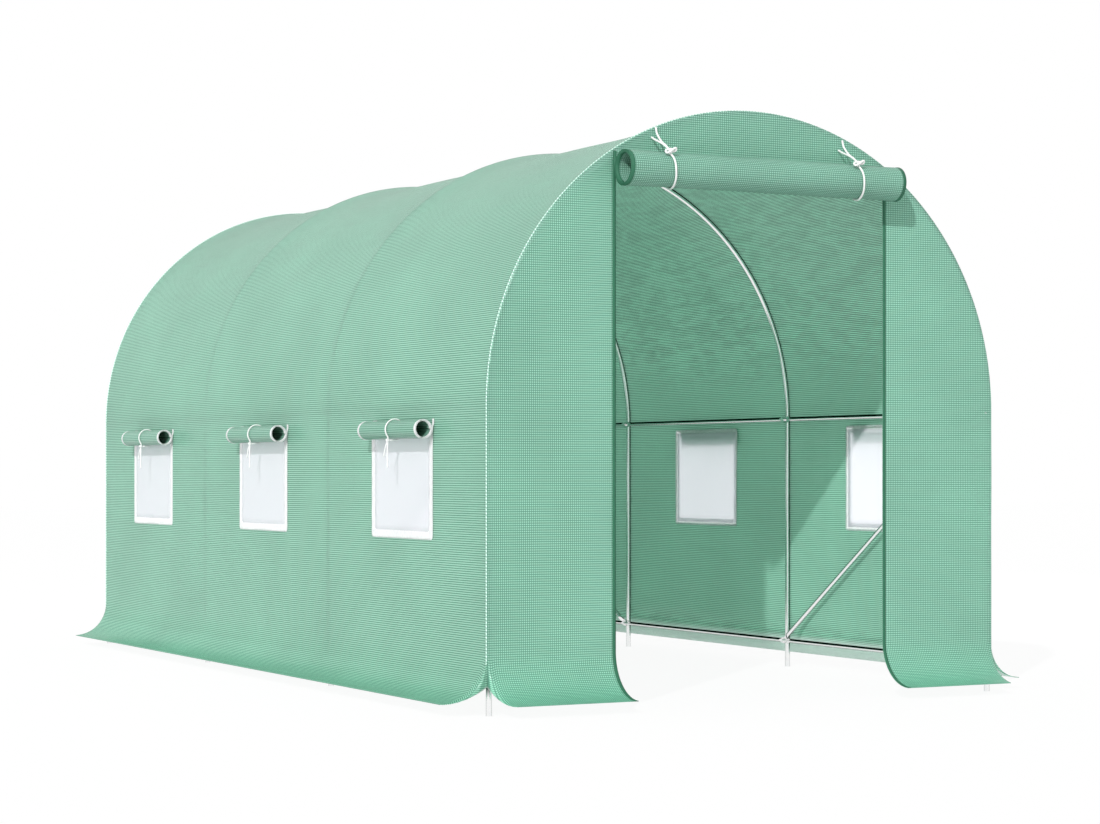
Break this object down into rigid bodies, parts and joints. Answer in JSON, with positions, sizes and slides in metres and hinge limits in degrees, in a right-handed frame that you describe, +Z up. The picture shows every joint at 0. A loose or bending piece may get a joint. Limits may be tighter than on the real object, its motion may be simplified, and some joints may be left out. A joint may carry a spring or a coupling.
{
  "type": "polytunnel greenhouse",
  "caption": "Walk-in polytunnel greenhouse with a green woven cover on steel hoops, rolled-up door flap, netted side windows and flared ground skirts",
  "frame": {"origin": "middle of the plan, on the ground under the legs", "axes": "+Z up, +Y from the door end to the rear end along the tunnel, +X to the right as seen from the door"},
  "size_m": [2.3, 4.1946, 1.995],
  "materials": {
    "galvanised_steel": "satin",
    "cover_sheet": "matte",
    "zip_tape": "matte",
    "white_trim": "matte",
    "insect_net": "matte",
    "tie_cord": "matte"
  },
  "bodies": {
    "root": {"front_arch": "galvanised_steel", "second_arch": "galvanised_steel", "third_arch": "galvanised_steel", "rear_arch": "galvanised_steel", "left_legs": "galvanised_steel", "right_legs": "galvanised_steel", "ridge_rails": "galvanised_steel", "left_mid_rails": "galvanised_steel", "right_mid_rails": "galvanised_steel", "left_ground_rails": "galvanised_steel", "right_ground_rails": "galvanised_steel", "rear_ground_rail": "galvanised_steel", "left_front_brace": "galvanised_steel", "right_front_brace": "galvanised_steel", "left_rear_brace": "galvanised_steel", "right_rear_brace": "galvanised_steel", "front_roof_sheet": "cover_sheet", "middle_roof_sheet": "cover_sheet", "rear_roof_sheet": "cover_sheet", "left_wall_sheet": "cover_sheet", "right_wall_sheet": "cover_sheet", "front_left_panel": "cover_sheet", "front_right_panel": "cover_sheet", "front_gable_panel": "cover_sheet", "rear_panel": "cover_sheet", "left_skirt": "cover_sheet", "right_skirt": "cover_sheet", "front_left_skirt": "cover_sheet", "front_right_skirt": "cover_sheet", "rear_skirt": "cover_sheet", "door_roll": "cover_sheet", "left_window_rolls": "cover_sheet", "right_window_rolls": "cover_sheet", "left_door_zip": "zip_tape", "right_door_zip": "zip_tape", "left_window_borders": "white_trim", "right_window_borders": "white_trim", "left_window_nets": "insect_net", "right_window_nets": "insect_net", "door_ties": "tie_cord", "left_window_ties": "tie_cord", "right_window_ties": "tie_cord"}
  },
  "joints": []
}
